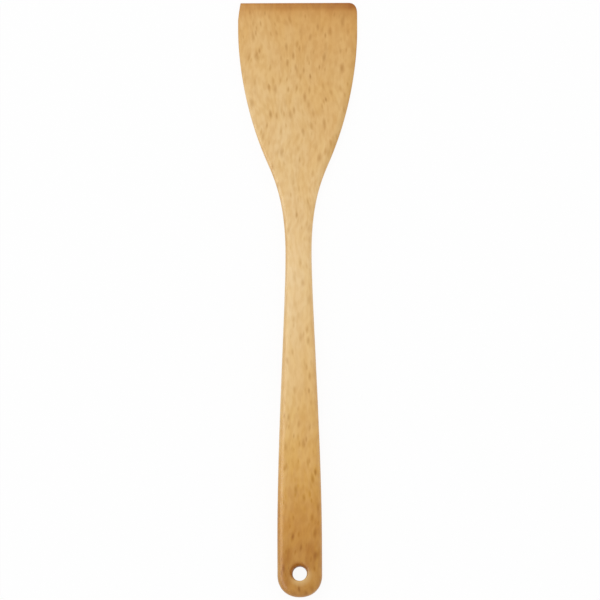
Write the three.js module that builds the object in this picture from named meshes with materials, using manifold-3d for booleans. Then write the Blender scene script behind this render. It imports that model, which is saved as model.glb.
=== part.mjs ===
// A wooden turner worked from one piece of beech: a flat blade that thins to its front edge, a narrow
// neck, and a rounded handle with a hanging hole drilled through its end. It lies on its flat underside.
// Units are millimetres. +Z is up, +Y points from the handle to the blade, and the origin is on the
// underside, at the middle of the length and of the width.
import * as THREE from "three";
import { LoftGeometry } from "three/addons/geometries/LoftGeometry.js";
import { mergeVertices } from "three/addons/utils/BufferGeometryUtils.js";
import Module from "manifold-3d";

// Lengths along the turner
const handleLength = 196; // handle end to the narrowest point of the neck
const flareLength = 55; // narrowest point of the neck to the shoulder, where the sides run straightest
const bladeLength = 89; // shoulder to the front edge
const gripStraight = 17; // parallel sides of the grip, from the handle's round end
const cheekStraight = 6; // parallel sides at the widest part of the blade, behind the front corners
const taperLead = 86; // how far behind the neck the upper face starts to fall towards the blade

// Widths across the turner
const handleWidth = 25.6;
const neckWidth = 15;
const shoulderWidth = 37.4;
const bladeWidth = 68.2;
const flareAngle = THREE.MathUtils.degToRad(23); // the sides' angle to the length at the shoulder

// Thicknesses, and how steeply the upper face still falls where it meets the front edge
const handleThickness = 12;
const frontThickness = 3;
const frontSlope = 0.016;

// Front corners: how far each curve reaches down the side and along the front edge, and how full it is,
// from 0, cut straight across, to 1, drawn out towards the square corner
const leftCorner = { side: 10, front: 1.5, fullness: 0.2 };
const rightCorner = { side: 6.5, front: 5, fullness: 1 };

// Round-overs: their widths in plan on the upper and the lower face, and the share of the thickness that
// stays upright between them
const upperEdge = { handle: 5, neck: 4.2, blade: 3.6, front: 3.2 };
const lowerEdge = { handle: 5, neck: 4.2, blade: 2.2, front: 2 };
const edgeLand = 0.16;

// Hanging hole, with a rounded rim on both faces
const holeDiameter = 8.6;
const holeSetback = 13.2; // handle end to the hole's axis
const rimRadius = 3;
const rimTurn = THREE.MathUtils.degToRad(75); // how far the rim's curve turns before it meets the face
const drillOverrun = 2; // how far the cut reaches past both faces

// Pull of each side curve's control points, as a share of that curve's own span; an end pulled by 0.55 would
// be a half circle, and this one is a little fuller
const endPull = 0.6;
const gripPull = 0.36;
const neckPull = { handle: 0.17, blade: 0.57 };
const shoulderPull = { neck: 0.22, blade: 0.45 };
const cheekPull = 0.19;

// Steps along each stretch of a half outline, in order from the handle's end to the middle of the front edge
const outlineSteps = { end: 10, grip: 2, handle: 20, neck: 14, blade: 16, cheek: 2, corner: 6, front: 5 };
const edgeSteps = 5; // steps round the quarter of a round-over
const holeSides = 48;
const rimSteps = 5;

const length = handleLength + flareLength + bladeLength;
const endDepth = handleWidth / 2;
const shoulderFromEnd = handleLength + flareLength;
const cheekFromEnd = length - Math.max(leftCorner.side, rightCorner.side) - cheekStraight;

const wasm = await Module();
wasm.setup();

// Thickness at a distance from the handle's end: constant along the grip, then a cubic fall to the front
// edge that starts level and ends at the front slope.
function thicknessAt(fromEnd) {
  const span = taperLead + flareLength + bladeLength;
  const drop = handleThickness - frontThickness;
  const u = THREE.MathUtils.clamp((length - fromEnd) / span, 0, 1);
  const startRise = (frontSlope * span) / drop;
  const rise = startRise * (u ** 3 - 2 * u ** 2 + u) + 3 * u ** 2 - 2 * u ** 3;
  return frontThickness + drop * rise;
}

// Half of the plan outline, from the middle of the handle's end to the middle of the front edge, drawn in
// by a share of the round-over's width: 0 is the outermost edge, 1 the line where the face begins.
function halfOutline(edge, drawIn, corner) {
  const handleIn = edge.handle * drawIn;
  const bladeIn = edge.blade * drawIn;
  const frontIn = edge.front * drawIn;
  const handleHalf = handleWidth / 2 - handleIn;
  const neckHalf = neckWidth / 2 - edge.neck * drawIn;
  const bladeHalf = bladeWidth / 2 - bladeIn;
  const gripFromEnd = endDepth + gripStraight;
  const handleSpan = handleLength - gripFromEnd;
  const bladeSpan = cheekFromEnd - shoulderFromEnd;

  const flare = new THREE.Vector2(Math.sin(flareAngle), Math.cos(flareAngle));
  const inward = new THREE.Vector2(-flare.y, flare.x);
  const shoulder = new THREE.Vector2(shoulderWidth / 2, shoulderFromEnd).addScaledVector(inward, bladeIn);
  const intoShoulder = shoulder.clone().addScaledVector(flare, -shoulderPull.neck * flareLength);
  const outOfShoulder = shoulder.clone().addScaledVector(flare, shoulderPull.blade * bladeSpan);

  const square = new THREE.Vector2(bladeHalf, length - frontIn);
  const cornerStart = new THREE.Vector2(bladeHalf, length - Math.max(corner.side, frontIn));
  const cornerEnd = new THREE.Vector2(bladeWidth / 2 - Math.max(corner.front, bladeIn), square.y);
  const cornerPull = cornerStart.clone().lerp(cornerEnd, 0.5).lerp(square, corner.fullness);

  const path = new THREE.Path();
  path.moveTo(0, handleIn);
  path.bezierCurveTo(
    endPull * handleHalf,
    handleIn,
    handleHalf,
    endDepth - endPull * handleHalf,
    handleHalf,
    endDepth,
  );
  path.lineTo(handleHalf, gripFromEnd);
  path.bezierCurveTo(
    handleHalf,
    gripFromEnd + gripPull * handleSpan,
    neckHalf,
    handleLength - neckPull.handle * handleSpan,
    neckHalf,
    handleLength,
  );
  path.bezierCurveTo(
    neckHalf,
    handleLength + neckPull.blade * flareLength,
    intoShoulder.x,
    intoShoulder.y,
    shoulder.x,
    shoulder.y,
  );
  path.bezierCurveTo(
    outOfShoulder.x,
    outOfShoulder.y,
    bladeHalf,
    cheekFromEnd - cheekPull * bladeSpan,
    bladeHalf,
    cheekFromEnd,
  );
  path.lineTo(cornerStart.x, cornerStart.y);
  path.quadraticCurveTo(cornerPull.x, cornerPull.y, cornerEnd.x, cornerEnd.y);
  path.lineTo(0, square.y);

  const steps = Object.values(outlineSteps);
  return path.curves.flatMap((curve, i) => curve.getPoints(steps[i]).slice(i > 0 ? 1 : 0));
}

// A closed ring round the turner, anticlockwise from above, each point's height worked out from its place.
function ring(edge, drawIn, heightAt) {
  const right = halfOutline(edge, drawIn, rightCorner);
  const left = halfOutline(edge, drawIn, leftCorner);
  const mirrored = left.slice(1, -1).reverse().map((p) => new THREE.Vector2(-p.x, p.y));
  return [...right, ...mirrored].map((p) => new THREE.Vector3(p.x, p.y - length / 2, heightAt(p.y)));
}

// The line down the middle of a face that its ring closes on, from where the handle's round end meets the
// grip to the cheeks.
function midline(points, heightAt) {
  return points.map((p) => {
    const fromEnd = THREE.MathUtils.clamp(p.y + length / 2, endDepth, cheekFromEnd);
    return new THREE.Vector3(0, fromEnd - length / 2, heightAt(fromEnd));
  });
}

// The rings from the middle of the underside, out round the edges and back to the middle of the upper face.
function bodyRings() {
  const turns = Array.from({ length: edgeSteps + 1 }, (_, i) => ((i / edgeSteps) * Math.PI) / 2);
  const depthAt = (fromEnd) => ((1 - edgeLand) / 2) * thicknessAt(fromEnd);
  const lower = turns.map((turn) => {
    const heightAt = (fromEnd) => depthAt(fromEnd) * (1 - Math.cos(turn));
    return ring(lowerEdge, 1 - Math.sin(turn), heightAt);
  });
  const upper = turns.map((turn) => {
    const heightAt = (fromEnd) => thicknessAt(fromEnd) - depthAt(fromEnd) * (1 - Math.sin(turn));
    return ring(upperEdge, 1 - Math.cos(turn), heightAt);
  });
  const underMiddle = midline(lower[0], () => 0);
  const upperMiddle = midline(upper[edgeSteps], thicknessAt);
  return [underMiddle, ...lower, ...upper, upperMiddle];
}

// The wood that the drill and the rounding of the rims take out: a straight bore that flares at both faces.
function holeCut() {
  const bore = holeDiameter / 2;
  const rimDepth = rimRadius * Math.sin(rimTurn);
  const rim = Array.from({ length: rimSteps + 1 }, (_, i) => {
    const turn = (i / rimSteps) * rimTurn;
    return new THREE.Vector2(bore + rimRadius * (1 - Math.cos(turn)), rimRadius * Math.sin(turn) - rimDepth);
  });
  rim.push(new THREE.Vector2(rim[rimSteps].x + drillOverrun * Math.tan(rimTurn), drillOverrun));
  const above = rim.map((p) => new THREE.Vector2(p.x, handleThickness + p.y));
  const below = rim.map((p) => new THREE.Vector2(p.x, -p.y)).reverse();
  const start = new THREE.Vector2(0, -drillOverrun);
  const end = new THREE.Vector2(0, handleThickness + drillOverrun);
  return new THREE.LatheGeometry([start, ...below, ...above, end], holeSides)
    .rotateX(Math.PI / 2)
    .translate(0, holeSetback - length / 2, 0);
}

// A closed geometry as a solid, with shared corners merged and the faces that shrank to a line left out.
function solidOf(geometry) {
  const bare = new THREE.BufferGeometry()
    .setAttribute("position", geometry.attributes.position)
    .setIndex(geometry.index);
  const merged = mergeVertices(bare);
  const corners = merged.index.array;
  const kept = [];
  for (let i = 0; i < corners.length; i += 3) {
    const triangle = corners.slice(i, i + 3);
    if (new Set(triangle).size === 3) kept.push(...triangle);
  }
  return new wasm.Manifold(
    new wasm.Mesh({
      numProp: 3,
      vertProperties: new Float32Array(merged.attributes.position.array),
      triVerts: new Uint32Array(kept),
    }),
  );
}

// The whole turner is one piece of wood: blade, neck and handle are worked from one blank, then drilled.
function turnerBody() {
  const blank = solidOf(new LoftGeometry(bodyRings()));
  const { vertProperties, triVerts } = blank.subtract(solidOf(holeCut())).getMesh();
  const geometry = new THREE.BufferGeometry()
    .setAttribute("position", new THREE.BufferAttribute(vertProperties, 3))
    .setIndex(new THREE.BufferAttribute(triVerts, 1));
  geometry.computeVertexNormals();
  const oiledBeech = new THREE.MeshStandardMaterial({ color: 0xdcb277, roughness: 0.55, metalness: 0 });
  const body = new THREE.Mesh(geometry, oiledBeech);
  body.name = "turner_body";
  return body;
}

const turner = new THREE.Group();
turner.add(turnerBody());

export default turner;
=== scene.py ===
import math

import bmesh
import bpy
import numpy as np
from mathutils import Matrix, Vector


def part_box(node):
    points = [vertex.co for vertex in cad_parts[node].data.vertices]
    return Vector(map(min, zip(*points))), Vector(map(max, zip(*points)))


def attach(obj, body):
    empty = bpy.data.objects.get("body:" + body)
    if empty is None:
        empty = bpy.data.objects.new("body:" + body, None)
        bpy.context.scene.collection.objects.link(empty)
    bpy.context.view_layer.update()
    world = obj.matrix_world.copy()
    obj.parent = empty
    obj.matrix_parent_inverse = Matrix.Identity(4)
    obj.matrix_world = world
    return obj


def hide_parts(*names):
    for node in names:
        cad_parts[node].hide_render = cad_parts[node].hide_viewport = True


# A one-piece wooden turner of oiled beech, lying on a white table and seen from straight above.
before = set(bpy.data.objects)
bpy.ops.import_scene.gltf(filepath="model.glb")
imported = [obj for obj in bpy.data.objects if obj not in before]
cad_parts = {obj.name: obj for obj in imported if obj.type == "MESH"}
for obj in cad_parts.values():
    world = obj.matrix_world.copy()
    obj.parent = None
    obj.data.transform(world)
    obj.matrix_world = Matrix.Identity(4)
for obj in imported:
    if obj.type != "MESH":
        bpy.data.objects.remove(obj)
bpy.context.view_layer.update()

# The turner: one length of beech, sawn to its outline, planed thinner towards the front edge, sanded round
# along every edge and drilled through the handle's end. Nothing is fixed to it and nothing moves.
# Sizes are in metres, and distances along it run from the handle's end.
node_low, node_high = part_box("turner_body")
length = node_high.y - node_low.y
blade_half = (node_high.x - node_low.x) / 2
handle_thickness = node_high.z - node_low.z
handle_half = 0.0128
neck_half = 0.0075
shoulder_half = 0.0187
front_thickness = 0.003
front_slope = 0.016
grip_straight = 0.017
taper_at = 0.110
neck_at = 0.196
shoulder_at = 0.251
flare = math.radians(23)

# The front corners: reach down the side, reach along the front edge, and fullness towards a square corner.
# Behind them the cheeks of the blade run straight.
left_corner = {"side": 0.010, "front": 0.0015, "fullness": 0.2}
right_corner = {"side": 0.0065, "front": 0.005, "fullness": 1.0}
cheek_straight = 0.006
cheek_at = length - max(left_corner["side"], right_corner["side"]) - cheek_straight

# How far the control points of the side curves are pulled out, as a share of each curve's own span.
end_pull = 0.6
grip_pull = 0.36
neck_pull = {"handle": 0.17, "blade": 0.57}
shoulder_pull = {"neck": 0.22, "blade": 0.45}
cheek_pull = 0.19

# How far each edge is rounded in plan, on the upper and the lower side, and the share left upright between.
upper_edge = {"handle": 0.005, "neck": 0.0042, "blade": 0.0036, "front": 0.0032}
lower_edge = {"handle": 0.005, "neck": 0.0042, "blade": 0.0022, "front": 0.002}
upright_share = 0.16

# The hanging hole and its rounded rims. The drill leaned a little, so the upper mouth lies nearer the blade's
# left corner than the lower one, and there the upper rim was opened out wider and deeper too.
bore_radius = 0.0041
hole_at = 0.0134
bore_lean = np.array([-0.00030, 0.00085])
rim_width = 0.0022
rim_shift = np.array([-0.00040, 0.00130])
rim_depth = 0.0034
rim_swing = 0.0027

# Steps along each stretch of a side, from the handle's end to the middle of the front edge, then across a
# face and round an edge. Half of the hole has as many as the end and the grip beside it.
side_steps = {
    "end": 40,
    "grip": 24,
    "handle": 150,
    "neck": 70,
    "blade": 90,
    "cheek": 8,
    "corner": 24,
    "front": 40,
}
face_steps = 24
round_steps = 16
hole_steps = side_steps["end"] + side_steps["grip"]
half_turn = np.linspace(-math.pi / 2, math.pi / 2, hole_steps + 1)
quarter_turn = np.linspace(0, math.pi / 2, round_steps + 1)


def bezier(t, *points):
    """A Bezier curve: neighbouring control points are blended by t until one point is left."""
    while len(points) > 1:
        points = [a + (b - a) * t for a, b in zip(points, points[1:])]
    return points[0]


def thickness(from_end):
    """The handle's thickness up to the taper, then a cubic that leaves it level and ends at the front
    slope."""
    span = length - taper_at
    drop = handle_thickness - front_thickness
    u = np.clip((length - from_end) / span, 0, 1)
    start = front_slope * span / drop
    return front_thickness + drop * (start * (u**3 - 2 * u**2 + u) + 3 * u**2 - 2 * u**3)


def side_plan(edge, draw_in, corner):
    """One side in plan, as half width and distance from the end, with a row for each share of the round-over
    that it is drawn in by: the round end, a straight, three Bezier curves, a straight, the corner's curve and
    half of the front edge."""
    share = np.reshape(draw_in, (-1, 1))
    handle_in = edge["handle"] * share
    blade_in = edge["blade"] * share
    front_in = edge["front"] * share
    grip_at = handle_half + grip_straight
    handle_span = neck_at - grip_at
    neck_span = shoulder_at - neck_at
    blade_span = cheek_at - shoulder_at
    crosswise = np.array([1, 0])
    lengthwise = np.array([0, 1])
    flaring = np.array([math.sin(flare), math.cos(flare)])

    def spot(x, y):
        """A point for each row, whose half width and distance are each one number or a column of them."""
        return np.stack(np.broadcast_arrays(x + 0 * share, y + 0 * share), axis=-1)

    end_middle = spot(0, handle_in)
    end_reach = end_pull * (handle_half - handle_in)[..., None]
    grip_start = spot(handle_half - handle_in, handle_half)
    grip = spot(handle_half - handle_in, grip_at)
    neck = spot(neck_half - edge["neck"] * share, neck_at)
    shoulder = spot(shoulder_half - blade_in * flaring[1], shoulder_at + blade_in * flaring[0])
    cheek = spot(blade_half - blade_in, cheek_at)
    corner_start = spot(blade_half - blade_in, length - np.maximum(corner["side"], front_in))
    corner_end = spot(blade_half - np.maximum(corner["front"], blade_in), length - front_in)
    cut_off = (corner_start + corner_end) / 2
    square = spot(blade_half - blade_in, length - front_in)
    corner_pull = cut_off * (1 - corner["fullness"]) + square * corner["fullness"]
    front_middle = spot(0, length - front_in)
    stretches = {
        "end": (
            end_middle,
            end_middle + end_reach * crosswise,
            grip_start - end_reach * lengthwise,
            grip_start,
        ),
        "grip": (grip_start, grip),
        "handle": (
            grip,
            grip + grip_pull * handle_span * lengthwise,
            neck - neck_pull["handle"] * handle_span * lengthwise,
            neck,
        ),
        "neck": (
            neck,
            neck + neck_pull["blade"] * neck_span * lengthwise,
            shoulder - shoulder_pull["neck"] * neck_span * flaring,
            shoulder,
        ),
        "blade": (
            shoulder,
            shoulder + shoulder_pull["blade"] * blade_span * flaring,
            cheek - cheek_pull * blade_span * lengthwise,
            cheek,
        ),
        "cheek": (cheek, corner_start),
        "corner": (corner_start, corner_pull, corner_end),
        "front": (corner_end, front_middle),
    }
    drawn = [end_middle]
    for name, controls in stretches.items():
        t = np.linspace(0, 1, side_steps[name] + 1)[1:, None]
        drawn.append(bezier(t, *controls))
    return np.concatenate(drawn, axis=1)


def ring_plan(edge, draw_in):
    """The closed plan outline, anticlockwise from above: the right side, then the left side back to the
    end."""
    right = side_plan(edge, draw_in, right_corner)
    left = side_plan(edge, draw_in, left_corner)[:, -2:0:-1] * np.array([-1, 1])
    return np.concatenate([right, left], axis=1)


def keyhole(ring, shift):
    """The line that a face closes on, point for point with its ring: round the hole's rim beside the handle's
    end, then along the middle of the face up to the cheeks."""
    reach = bore_radius + rim_width
    top = hole_at + shift[1] + reach
    half = ring[: len(ring) // 2 + 1, 1]
    rise = np.clip((half - half[hole_steps]) / (cheek_at - half[hole_steps]), 0, 1)
    spread = np.zeros_like(half)
    centre = np.zeros_like(half)
    y = top + rise * (cheek_at - top)
    spread[: hole_steps + 1] = reach * np.cos(half_turn)
    centre[: hole_steps + 1] = shift[0]
    y[: hole_steps + 1] = top - reach * (1 - np.sin(half_turn))
    right = np.stack([centre + spread, y], axis=-1)
    left = np.stack([centre - spread, y], axis=-1)
    return np.concatenate([right, left[-2:0:-1]])


def quads(rows, columns, first):
    """Corner numbers of a grid's faces, closed round its columns."""
    grid = first + np.arange(rows * columns).reshape(rows, columns)
    ahead = np.roll(grid, -1, axis=1)
    return np.stack([grid[:-1], ahead[:-1], ahead[1:], grid[1:]], axis=-1).reshape(-1, 4)


# The skin's rows run from the middle of the underside out round the edge and back to the middle of the top.
lower_ring = ring_plan(lower_edge, 1 - np.sin(quarter_turn))
upper_ring = ring_plan(upper_edge, 1 - np.cos(quarter_turn))
under_middle = keyhole(lower_ring[0], -bore_lean / 2)
upper_middle = keyhole(upper_ring[-1], bore_lean / 2 + rim_shift)
shares = np.linspace(0, 1, face_steps + 1)[:, None, None]
under_face = under_middle + (lower_ring[0] - under_middle) * shares[:-1]
upper_face = upper_ring[-1] + (upper_middle - upper_ring[-1]) * shares[1:]
round_depth = (1 - upright_share) / 2
lower_height = round_depth * thickness(lower_ring[..., 1]) * (1 - np.cos(quarter_turn))[:, None]
upper_height = thickness(upper_ring[..., 1]) * (1 - round_depth * (1 - np.sin(quarter_turn)))[:, None]
plan = np.concatenate([under_face, lower_ring, upper_ring, upper_face])
height = np.concatenate(
    [np.zeros(under_face.shape[:2]), lower_height, upper_height, thickness(upper_face[..., 1])]
)
skin = np.stack([plan[..., 0], plan[..., 1] + node_low.y, height], axis=-1)

# The hole's wall is turned about its leaning axis: a rounded rim, the straight bore and the rim below.
turn = np.concatenate([half_turn, math.pi - half_turn[-2:0:-1]])
rim_share = 1 - np.sin(quarter_turn)
rim_drop = 1 - np.cos(quarter_turn)
rim_bearing = math.atan2(rim_shift[1], rim_shift[0])
wall_radius = bore_radius + rim_width * np.concatenate([rim_share, rim_share[::-1]])[:, None]
upper_depth = rim_depth + rim_swing * np.cos(turn - rim_bearing)
wall_height = np.concatenate(
    [handle_thickness - upper_depth * rim_drop[:, None], rim_depth * rim_drop[::-1, None] + 0 * turn]
)
lean_share = wall_height / handle_thickness - 0.5
shift_share = np.concatenate([rim_share, 0 * rim_share])[:, None]
axis_x = bore_lean[0] * lean_share + rim_shift[0] * shift_share
axis_y = bore_lean[1] * lean_share + rim_shift[1] * shift_share + node_low.y + hole_at
wall_x = axis_x + wall_radius * np.cos(turn)
wall_y = axis_y + wall_radius * np.sin(turn)
wall = np.stack([wall_x, wall_y, wall_height], axis=-1)

points = np.concatenate([skin.reshape(-1, 3), wall.reshape(-1, 3)])
skin_points = skin.shape[0] * skin.shape[1]
faces = np.concatenate([quads(*skin.shape[:2], 0), quads(*wall.shape[:2], skin_points)])
turner_mesh = bpy.data.meshes.new("turner")
turner_mesh.from_pydata(points, [], faces)

# Three measures kept on the mesh for the wood: how far each point lies in from the outline, how far down the
# drilled wall it is, from 0 on the faces to 1 just below them, and how strongly a pale highlight is painted
# on it round the hole's rim. The painted highlight lies towards the handle's end, a little to the right,
# where the rim faces the light, and fades further round the rim from there.
bore_mouth = 0.0009
highlight_reach = 0.0034
highlight_beside = 0.5
highlight_bearing = math.radians(-62)
from_outline = np.linalg.norm(plan - upper_ring[0], axis=-1)
far_in = np.full(wall_height.shape, handle_half)
in_bore = np.clip(np.minimum(wall_height, handle_thickness - wall_height) / bore_mouth, 0, 1)
from_hole = points[:, :2] - np.array([0, node_low.y + hole_at])
hole_distance = np.linalg.norm(from_hole, axis=1)
highlight_way = np.array([math.cos(highlight_bearing), math.sin(highlight_bearing)])
lit_side = from_hole @ highlight_way / hole_distance
near_rim = np.clip(1 - (hole_distance - bore_radius) / highlight_reach, 0, 1)
measures = {
    "from_edge": np.concatenate([from_outline.ravel(), far_in.ravel()]),
    "drilled": np.concatenate([0 * from_outline.ravel(), in_bore.ravel()]),
    "lit_rim": near_rim * np.clip(highlight_beside + lit_side, 0, 1),
}
for name, values in measures.items():
    measure = turner_mesh.attributes.new(name, "FLOAT", "POINT")
    measure.data.foreach_set("value", values.astype(np.float32))

# The skin closes along the middle of each face and meets the wall at both rims.
seam_gap = 1e-6
seam = bmesh.new()
seam.from_mesh(turner_mesh)
bmesh.ops.remove_doubles(seam, verts=seam.verts, dist=seam_gap)
seam.to_mesh(turner_mesh)
seam.free()
turner_mesh.polygons.foreach_set("use_smooth", np.ones(len(turner_mesh.polygons), bool))
turner = bpy.data.objects.new("turner", turner_mesh)
bpy.context.scene.collection.objects.link(turner)

# How far the surface faces along each axis is kept too, so that the wood can tell its faces from its sides
# and from its end grain.
facing = np.empty(len(turner_mesh.vertices) * 3, np.float32)
turner_mesh.vertex_normals.foreach_get("vector", facing)
turner_mesh.attributes.new("facing", "FLOAT_VECTOR", "POINT").data.foreach_set("vector", np.abs(facing))


def tone(red, green, blue):
    """A colour as it is seen on a screen, 0 to 255, turned into the linear values that shaders take."""
    seen = np.array([red, green, blue]) / 255
    linear = np.where(seen <= 0.04045, seen / 12.92, ((seen + 0.055) / 1.055) ** 2.4)
    return (*linear, 1.0)


def add_node(tree, kind, inputs=None, **settings):
    """Adds a node with its settings, and gives each named or numbered input a value or the output of another
    node."""
    node = tree.nodes.new(kind)
    for name, value in settings.items():
        setattr(node, name, value)
    for name, value in (inputs or {}).items():
        if isinstance(value, bpy.types.NodeSocket):
            tree.links.new(value, node.inputs[name])
        else:
            node.inputs[name].default_value = value
    return node


beech = bpy.data.materials.new("oiled_beech")
beech.use_nodes = True
wood = beech.node_tree
wood.nodes.clear()


def measured(name, output="Fac"):
    """A measure that is kept on the mesh, as a number or as a vector."""
    return add_node(wood, "ShaderNodeAttribute", attribute_name=name).outputs[output]


def calculated(operation, first, second=0.0):
    """One sum of the shader: two values, or a value and a number."""
    return add_node(wood, "ShaderNodeMath", {0: first, 1: second}, operation=operation).outputs["Value"]


def product(*values):
    """All the values multiplied together, one after the other."""
    result = values[0]
    for value in values[1:]:
        result = calculated("MULTIPLY", result, value)
    return result


def eased(value, start, end, at_start=0.0, at_end=1.0):
    """A smooth step from one amount to another while the value goes from start to end, held beyond them."""
    return add_node(
        wood,
        "ShaderNodeMapRange",
        {"Value": value, "From Min": start, "From Max": end, "To Min": at_start, "To Max": at_end},
        interpolation_type="SMOOTHSTEP",
    ).outputs["Result"]


def stained(colour, stain, amount, blend="MULTIPLY"):
    """The colour multiplied by a stain, or mixed with it, by an amount from 0 to 1."""
    return add_node(
        wood,
        "ShaderNodeMix",
        {0: amount, 6: colour, 7: stain},
        data_type="RGBA",
        blend_type=blend,
    ).outputs[2]


# Where a point lies: across and along the turner, how far in from the front edge, and as a share of the
# length from the handle's end. Then how far the surface faces across, along and up or down.
place = add_node(wood, "ShaderNodeTexCoord").outputs["Object"]
place_axis = add_node(wood, "ShaderNodeSeparateXYZ", {"Vector": place}).outputs
across = place_axis["X"]
along = place_axis["Y"]
from_front = calculated("SUBTRACT", node_high.y, along)
run = add_node(
    wood,
    "ShaderNodeMapRange",
    {"Value": along, "From Min": node_low.y, "From Max": node_high.y},
).outputs["Result"]
facing_axis = add_node(wood, "ShaderNodeSeparateXYZ", {"Vector": measured("facing", "Vector")}).outputs
faces_across = facing_axis["X"]
faces_along = facing_axis["Y"]
faces_up = facing_axis["Z"]

# The grain wanders a few millimetres to either side over the length of the blank.
wander_scale = 22.0
wander_reach = (0.012, 0.0, 0.004)
wander = add_node(
    wood,
    "ShaderNodeTexNoise",
    {"Vector": place, "Scale": wander_scale, "Detail": 1.0},
).outputs["Color"]
grain = add_node(
    wood,
    "ShaderNodeVectorMath",
    {0: wander, 1: wander_reach, 2: place},
    operation="MULTIPLY_ADD",
).outputs["Vector"]


def stretched(grain_size, shift=(0, 0, 0), turned=(0, 0, 0)):
    """Places along the grain, counted in steps of the given size across, along and through the wood."""
    scale = [1 / size for size in grain_size]
    return add_node(
        wood,
        "ShaderNodeMapping",
        {"Vector": grain, "Scale": scale, "Location": shift, "Rotation": turned},
    ).outputs["Vector"]


def mottle(grain_size, detail, shift=(0, 0, 0)):
    """Cloudy noise drawn out along the grain, from 0 to 1."""
    return add_node(
        wood,
        "ShaderNodeTexNoise",
        {"Vector": stretched(grain_size, shift), "Scale": 1.0, "Detail": detail},
    ).outputs["Fac"]


# The tone along the blank, by its share of the length: from the handle's end through the grip, the handle,
# the pale neck and the blade to the front edge. It is partly the heartwood's own tone and partly painted
# light: the pale neck stands in for a broad sheen of the high lamp, and the darker ends for the light falling
# off. The right side is painted darker than the left, as painted shade away from the light on the left.
end_tone = tone(196, 146, 71)
front_tone = tone(224, 178, 109)
tones_between = {
    0.12: tone(209, 157, 79),
    0.22: tone(228, 185, 114),
    0.40: tone(240, 208, 155),
    0.56: tone(245, 217, 171),
    0.85: tone(234, 198, 140),
}
# Painted shade: the wood darkens towards the right, the side turned from the light on the left.
right_side_shade = tone(247, 239, 221)
length_tone_and_light = add_node(wood, "ShaderNodeValToRGB", {"Fac": run})
stops = length_tone_and_light.color_ramp.elements
stops[0].color = end_tone
stops[1].color = front_tone
for share, tone_and_light in tones_between.items():
    stops.new(share).color = tone_and_light
colour = length_tone_and_light.outputs["Color"]
colour = stained(colour, right_side_shade, eased(across, -0.026, 0.022))

# Growth rings are cylinders round a pith well below the blank, a little out of line with it, so that the flat
# face cuts them in long faint arches.
ring_stain = tone(252, 250, 246)
pith_offset = (0.004, 0, 0.055)
pith_tilt = (math.radians(2.5), 0, math.radians(1.5))
rings = add_node(
    wood,
    "ShaderNodeTexWave",
    {
        "Vector": stretched((1, 1, 1), shift=pith_offset, turned=pith_tilt),
        "Scale": 90,
        "Distortion": 2.2,
        "Detail": 2,
        "Detail Scale": 0.25,
    },
    wave_type="RINGS",
    rings_direction="Y",
    wave_profile="SIN",
).outputs["Fac"]
colour = stained(colour, ring_stain, rings)

# How strongly the wood is figured along the blank: it is plainest in the pale neck, and bolder on the blade
# and towards the handle's end.
grip_to_neck = eased(run, 0.08, 0.55, at_start=1.08, at_end=0.62)
neck_to_blade = eased(run, 0.57, 0.67, at_start=1.0, at_end=1.54)
figure_share = product(grip_to_neck, neck_to_blade)

# The tone drifts in patches that are longer along the grain than across it, from broad clouds down to
# single fibres. The amber patches lie along the grip, and the dapple is as strong as the figure.
cloud_stain = tone(253, 249, 242)
blush_stain = tone(254, 252, 244)
amber_stain = tone(252, 249, 228)
dapple_stain = tone(245, 239, 228)
fibre_stain = tone(253, 252, 249)
cloud = mottle((0.012, 0.035, 0.02), detail=2.0)
blush = mottle((0.007, 0.016, 0.02), detail=1.0, shift=(3, 8, 1))
amber = mottle((0.0036, 0.0095, 0.02), detail=1.0, shift=(5, 1, 9))
dapple = mottle((0.0019, 0.0052, 0.01), detail=1.0, shift=(7, 2, 4))
fibre = mottle((0.0005, 0.02, 0.001), detail=2.0)
on_grip = eased(run, 0.42, 0.18)
colour = stained(colour, cloud_stain, eased(cloud, 0.35, 0.70))
colour = stained(colour, blush_stain, eased(blush, 0.40, 0.66))
colour = stained(colour, amber_stain, product(eased(amber, 0.36, 0.64), on_grip))
colour = stained(colour, dapple_stain, product(eased(dapple, 0.32, 0.70), figure_share))
colour = stained(colour, fibre_stain, eased(fibre, 0.35, 0.75))

# The sides of the blank are cut across the growth layers, which lie there in lines along the length.
layer_stain = tone(241, 229, 208)
layers = mottle((0.008, 0.090, 0.0011), detail=2.0, shift=(1, 4, 6))
on_sides = eased(faces_across, 0.35, 0.90)
colour = stained(colour, layer_stain, product(eased(layers, 0.40, 0.66), on_sides))

# The rays are cut across on the faces, where they show as flecks. These fade on the sides and the end grain,
# in the bore and on the front edge's dark lip, and on the grip they are more amber.
bold_stain = tone(212, 195, 160)
strong_stain = tone(222, 208, 181)
faint_stain = tone(235, 226, 206)
amber_fleck_stain = tone(255, 252, 192)
bore_wood = measured("drilled")
on_faces = eased(faces_up, 0.44, 0.94, at_start=0.25)
behind_lip = eased(from_front, 0.0030, 0.0075, at_start=0.3)
out_of_bore = eased(bore_wood, 0.0, 1.0, at_start=1.0, at_end=0.2)
fleck_share = product(on_faces, figure_share, behind_lip, out_of_bore)


def flecks(cell, smallest, largest, turned):
    """Ray flecks: soft spindles round scattered points, each with its own size and strength. A ray runs
    straight through the thickness, so only the places across and along the grain count. The scatter is
    turned, not the spindles, so that they don't stand in rows."""
    cells = add_node(
        wood,
        "ShaderNodeTexVoronoi",
        {"Vector": stretched((*cell, 1), turned=(0, 0, math.radians(turned))), "Scale": 1.0},
        voronoi_dimensions="2D",
    )
    pick = add_node(wood, "ShaderNodeSeparateColor", {"Color": cells.outputs["Color"]})
    size = eased(pick.outputs["Red"], 0.0, 1.0, at_start=smallest, at_end=largest)
    core = eased(calculated("DIVIDE", cells.outputs["Distance"], size), 1.0, 0.0)
    strength = eased(pick.outputs["Green"], 0.1, 1.0)
    return product(core, strength, fleck_share)


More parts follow.
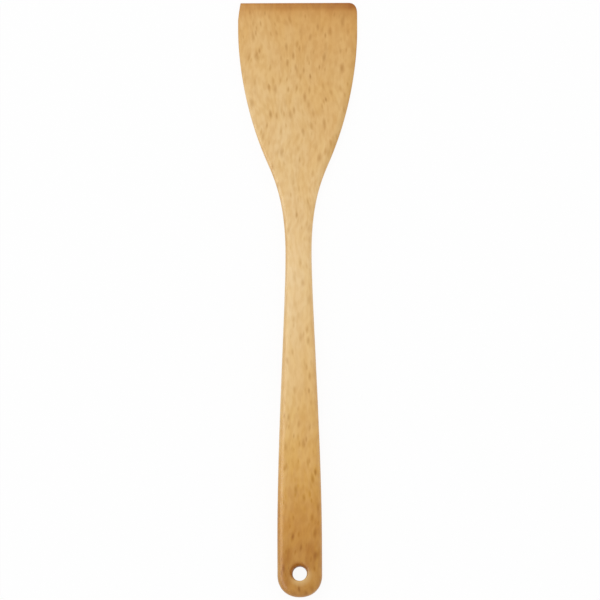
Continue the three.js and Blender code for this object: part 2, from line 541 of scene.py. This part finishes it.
bold_flecks = flecks((0.0102, 0.0250), smallest=0.09, largest=0.18, turned=35)
strong_flecks = flecks((0.0052, 0.0134), smallest=0.18, largest=0.33, turned=-28)
faint_flecks = flecks((0.0033, 0.0090), smallest=0.22, largest=0.41, turned=50)
any_fleck = calculated("MAXIMUM", bold_flecks, calculated("MAXIMUM", strong_flecks, faint_flecks))
amber_flecks = product(any_fleck, eased(run, 0.28, 0.16))
colour = stained(colour, bold_stain, bold_flecks)
colour = stained(colour, strong_stain, strong_flecks)
colour = stained(colour, faint_stain, faint_flecks)
colour = stained(colour, amber_fleck_stain, amber_flecks)

# Oil sinks deepest into end grain, so the front edge and its lip and the handle's end are darker and more
# amber.
# The bore is darker too, partly as drilled end grain and partly as painted shade deep in the hole. The front
# edge and its lip are also painted darker towards the right corner and lighter at the far left, as painted
# shade from the light on the left.
end_grain_stain = tone(245, 232, 208)
front_stain_and_shade = tone(231, 207, 166)
lip_stain_and_shade = tone(227, 206, 140)
bore_stain_and_shade = tone(232, 209, 166)
end_grain = product(eased(faces_along, 0.2, 0.95), eased(run, 0.05, 0.3, at_start=0.3))
near_front = eased(from_front, 0.012, 0.0)
near_right = eased(across, 0.016, 0.034, at_start=0.62)
front_lip = eased(from_front, 0.0055, 0.0020)
off_left = eased(across, -0.032, -0.008, at_start=0.28, at_end=0.64)
right_corner_shade = eased(across, 0.020, 0.033, at_end=0.36)
lip_share = calculated("ADD", off_left, right_corner_shade)
colour = stained(colour, end_grain_stain, end_grain)
colour = stained(colour, front_stain_and_shade, product(near_front, near_right))
colour = stained(colour, lip_stain_and_shade, product(front_lip, lip_share))
colour = stained(colour, bore_stain_and_shade, bore_wood)

# Painted shade: the blade's right edge, where it flares, is painted darker as the side turned away from the
# light on the left, and darkest at the right corner.
right_edge_shade = tone(247, 245, 239)
from_edge = measured("from_edge")
near_edge = eased(from_edge, 0.0045, 0.0015)
on_right_edge = product(near_edge, eased(across, 0.004, 0.012), eased(run, 0.68, 0.76))
in_right_corner = product(eased(from_front, 0.014, 0.006), eased(across, 0.017, 0.026))
colour = stained(colour, right_edge_shade, calculated("MAXIMUM", on_right_edge, in_right_corner))

# Oil and hands have stained the grip on both sides of the hole, lower on the left than on the right. The
# stain is patchy, and stops short of the round-overs and of the end.
handled_stain = tone(230, 211, 138)
stain_offset = 0.001
stain_slant = 3.2
off_middle = calculated("ABSOLUTE", calculated("ADD", across, stain_offset))
slanted = calculated("SUBTRACT", run, calculated("MULTIPLY", across, stain_slant))
beside_hole = product(eased(off_middle, 0.0025, 0.0065), eased(off_middle, 0.0113, 0.0080))
near_hole = product(eased(slanted, 0.012, 0.035), eased(run, 0.108, 0.075))
off_end = eased(run, 0.0, 0.03)
patchy = eased(blush, 0.35, 0.65, at_start=0.55)
colour = stained(colour, handled_stain, product(beside_hole, near_hole, off_end, patchy))

# A pale highlight is painted on the side of the hole's rim that faces the light, towards the handle's end.
rim_highlight = tone(226, 190, 129)
rim_highlight_share = 0.65
colour = stained(colour, rim_highlight, product(measured("lit_rim"), rim_highlight_share), blend="MIX")

# Sanding and handling have burnished the round-overs, so they are glossier than the faces. Under the oil the
# fibres stand up a little and the flecks lie a little lower.
burnish_gloss = 0.12
fibre_rise = 0.5
fleck_dip = 0.3
burnish = eased(from_edge, 0.0055, 0.0025)
face_roughness = eased(fibre, 0.2, 0.8, at_start=0.40, at_end=0.54)
roughness = calculated("SUBTRACT", face_roughness, product(burnish, burnish_gloss))
relief = calculated("SUBTRACT", product(fibre, fibre_rise), product(strong_flecks, fleck_dip))
raised = add_node(wood, "ShaderNodeBump", {"Height": relief, "Strength": 0.3, "Distance": 0.0001})
surface = add_node(
    wood,
    "ShaderNodeBsdfPrincipled",
    {
        "Base Color": colour,
        "Roughness": roughness,
        "Normal": raised.outputs["Normal"],
        "Specular IOR Level": 0.4,
    },
)
add_node(wood, "ShaderNodeOutputMaterial", {"Surface": surface.outputs["BSDF"]})
turner_mesh.materials.append(beech)

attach(turner, "root")
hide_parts("turner_body")

# The table: a broad, plain white top that the turner lies on, a hair below its underside. It is matt, the
# camera sees it near white, and it keeps a soft shadow.
table_half = 4.0
table_gap = 0.0002
table_white = 0.95
shadow_share = 0.07
table_signs = [(-1, -1), (1, -1), (1, 1), (-1, 1)]
table_corners = [(x * table_half, y * table_half, -table_gap) for x, y in table_signs]
table_mesh = bpy.data.meshes.new("table")
table_mesh.from_pydata(table_corners, [], [(0, 1, 2, 3)])
table = bpy.data.objects.new("table", table_mesh)
bpy.context.scene.collection.objects.link(table)
white_top = bpy.data.materials.new("white_top")
white_top.use_nodes = True
top = white_top.node_tree
top.nodes.clear()


def seen_directly(tree):
    """1 where the camera sees a surface itself, in a reflection or through glass, and 0 for the light that
    the surface gives to others: the largest of three marks on the ray."""
    ray = add_node(tree, "ShaderNodeLightPath").outputs
    mirrored = add_node(
        tree,
        "ShaderNodeMath",
        {0: ray["Is Camera Ray"], 1: ray["Is Glossy Ray"]},
        operation="MAXIMUM",
    ).outputs["Value"]
    return add_node(
        tree,
        "ShaderNodeMath",
        {0: mirrored, 1: ray["Is Transmission Ray"]},
        operation="MAXIMUM",
    ).outputs["Value"]


seen_white = add_node(
    top,
    "ShaderNodeMath",
    {0: seen_directly(top), 1: 1 - shadow_share},
    operation="MULTIPLY",
).outputs["Value"]
matt_white = add_node(top, "ShaderNodeBsdfDiffuse", {"Color": (table_white, table_white, table_white, 1)})
plain_white = add_node(top, "ShaderNodeEmission", {"Color": (1, 1, 1, 1), "Strength": 1.0})
top_shader = add_node(
    top,
    "ShaderNodeMixShader",
    {0: seen_white, 1: matt_white.outputs[0], 2: plain_white.outputs[0]},
)
add_node(top, "ShaderNodeOutputMaterial", {"Surface": top_shader.outputs[0]})
table_mesh.materials.append(white_top)

# The light: a bright white room all round, a soft lamp high above the upper left of the blade, and a low
# softbox on the left. This one shows only in the gloss, where it draws a pale sheen along the left edge.
room_light = 0.85
room = bpy.data.worlds.new("room")
room.use_nodes = True
air = room.node_tree
air.nodes.clear()
room_level = add_node(
    air,
    "ShaderNodeMapRange",
    {"Value": seen_directly(air), "To Min": room_light, "To Max": 1.0},
).outputs["Result"]
glow = add_node(air, "ShaderNodeBackground", {"Color": (1, 1, 1, 1), "Strength": room_level})
add_node(air, "ShaderNodeOutputWorld", {"Surface": glow.outputs[0]})
bpy.context.scene.world = room


def soft_lamp(name, bearing, elevation, distance, size, power):
    """An oval lamp aimed at the turner, placed by its distance, by its bearing from +Y towards the left and
    by its elevation, both in degrees. Its size is a width and a height."""
    data = bpy.data.lights.new(name, "AREA")
    data.shape = "ELLIPSE"
    data.size, data.size_y = size
    data.energy = power
    lamp = bpy.data.objects.new(name, data)
    sideways = math.radians(bearing)
    upwards = math.radians(elevation)
    level = distance * math.cos(upwards)
    lamp.location = (-level * math.sin(sideways), level * math.cos(sideways), distance * math.sin(upwards))
    lamp.rotation_euler = lamp.location.to_track_quat("Z", "Y").to_euler()
    bpy.context.scene.collection.objects.link(lamp)
    return lamp


soft_lamp("high_lamp", bearing=30, elevation=58, distance=2.0, size=(0.8, 0.8), power=4.5)
softbox = soft_lamp("left_softbox", bearing=118, elevation=22, distance=0.5, size=(0.60, 0.36), power=1.5)
softbox.visible_diffuse = False

# The camera: it looks straight down through a long lens, from a little to the right of the turner's middle,
# and is turned a hair so that the blade leans to the left. It stands so far off that the turner reaches from
# the front row of the picture to the end row.
picture_pixels = 600
front_row = 2.6
end_row = 596.9
pixel = length / (end_row - front_row)
lens = 0.4
sensor = 0.036
millimetres = 1000
focus_height = 0.004
camera_right = 0.00073
camera_turn = math.radians(-0.2275)
camera_data = bpy.data.cameras.new("camera")
camera_data.lens = lens * millimetres
camera_data.sensor_width = sensor * millimetres
camera = bpy.data.objects.new("camera", camera_data)
camera.location = (camera_right, 0, focus_height + picture_pixels * pixel * lens / sensor)
camera.rotation_euler = (0, 0, camera_turn)
bpy.context.scene.collection.objects.link(camera)
bpy.context.scene.camera = camera
bpy.context.scene.view_settings.view_transform = "Standard"
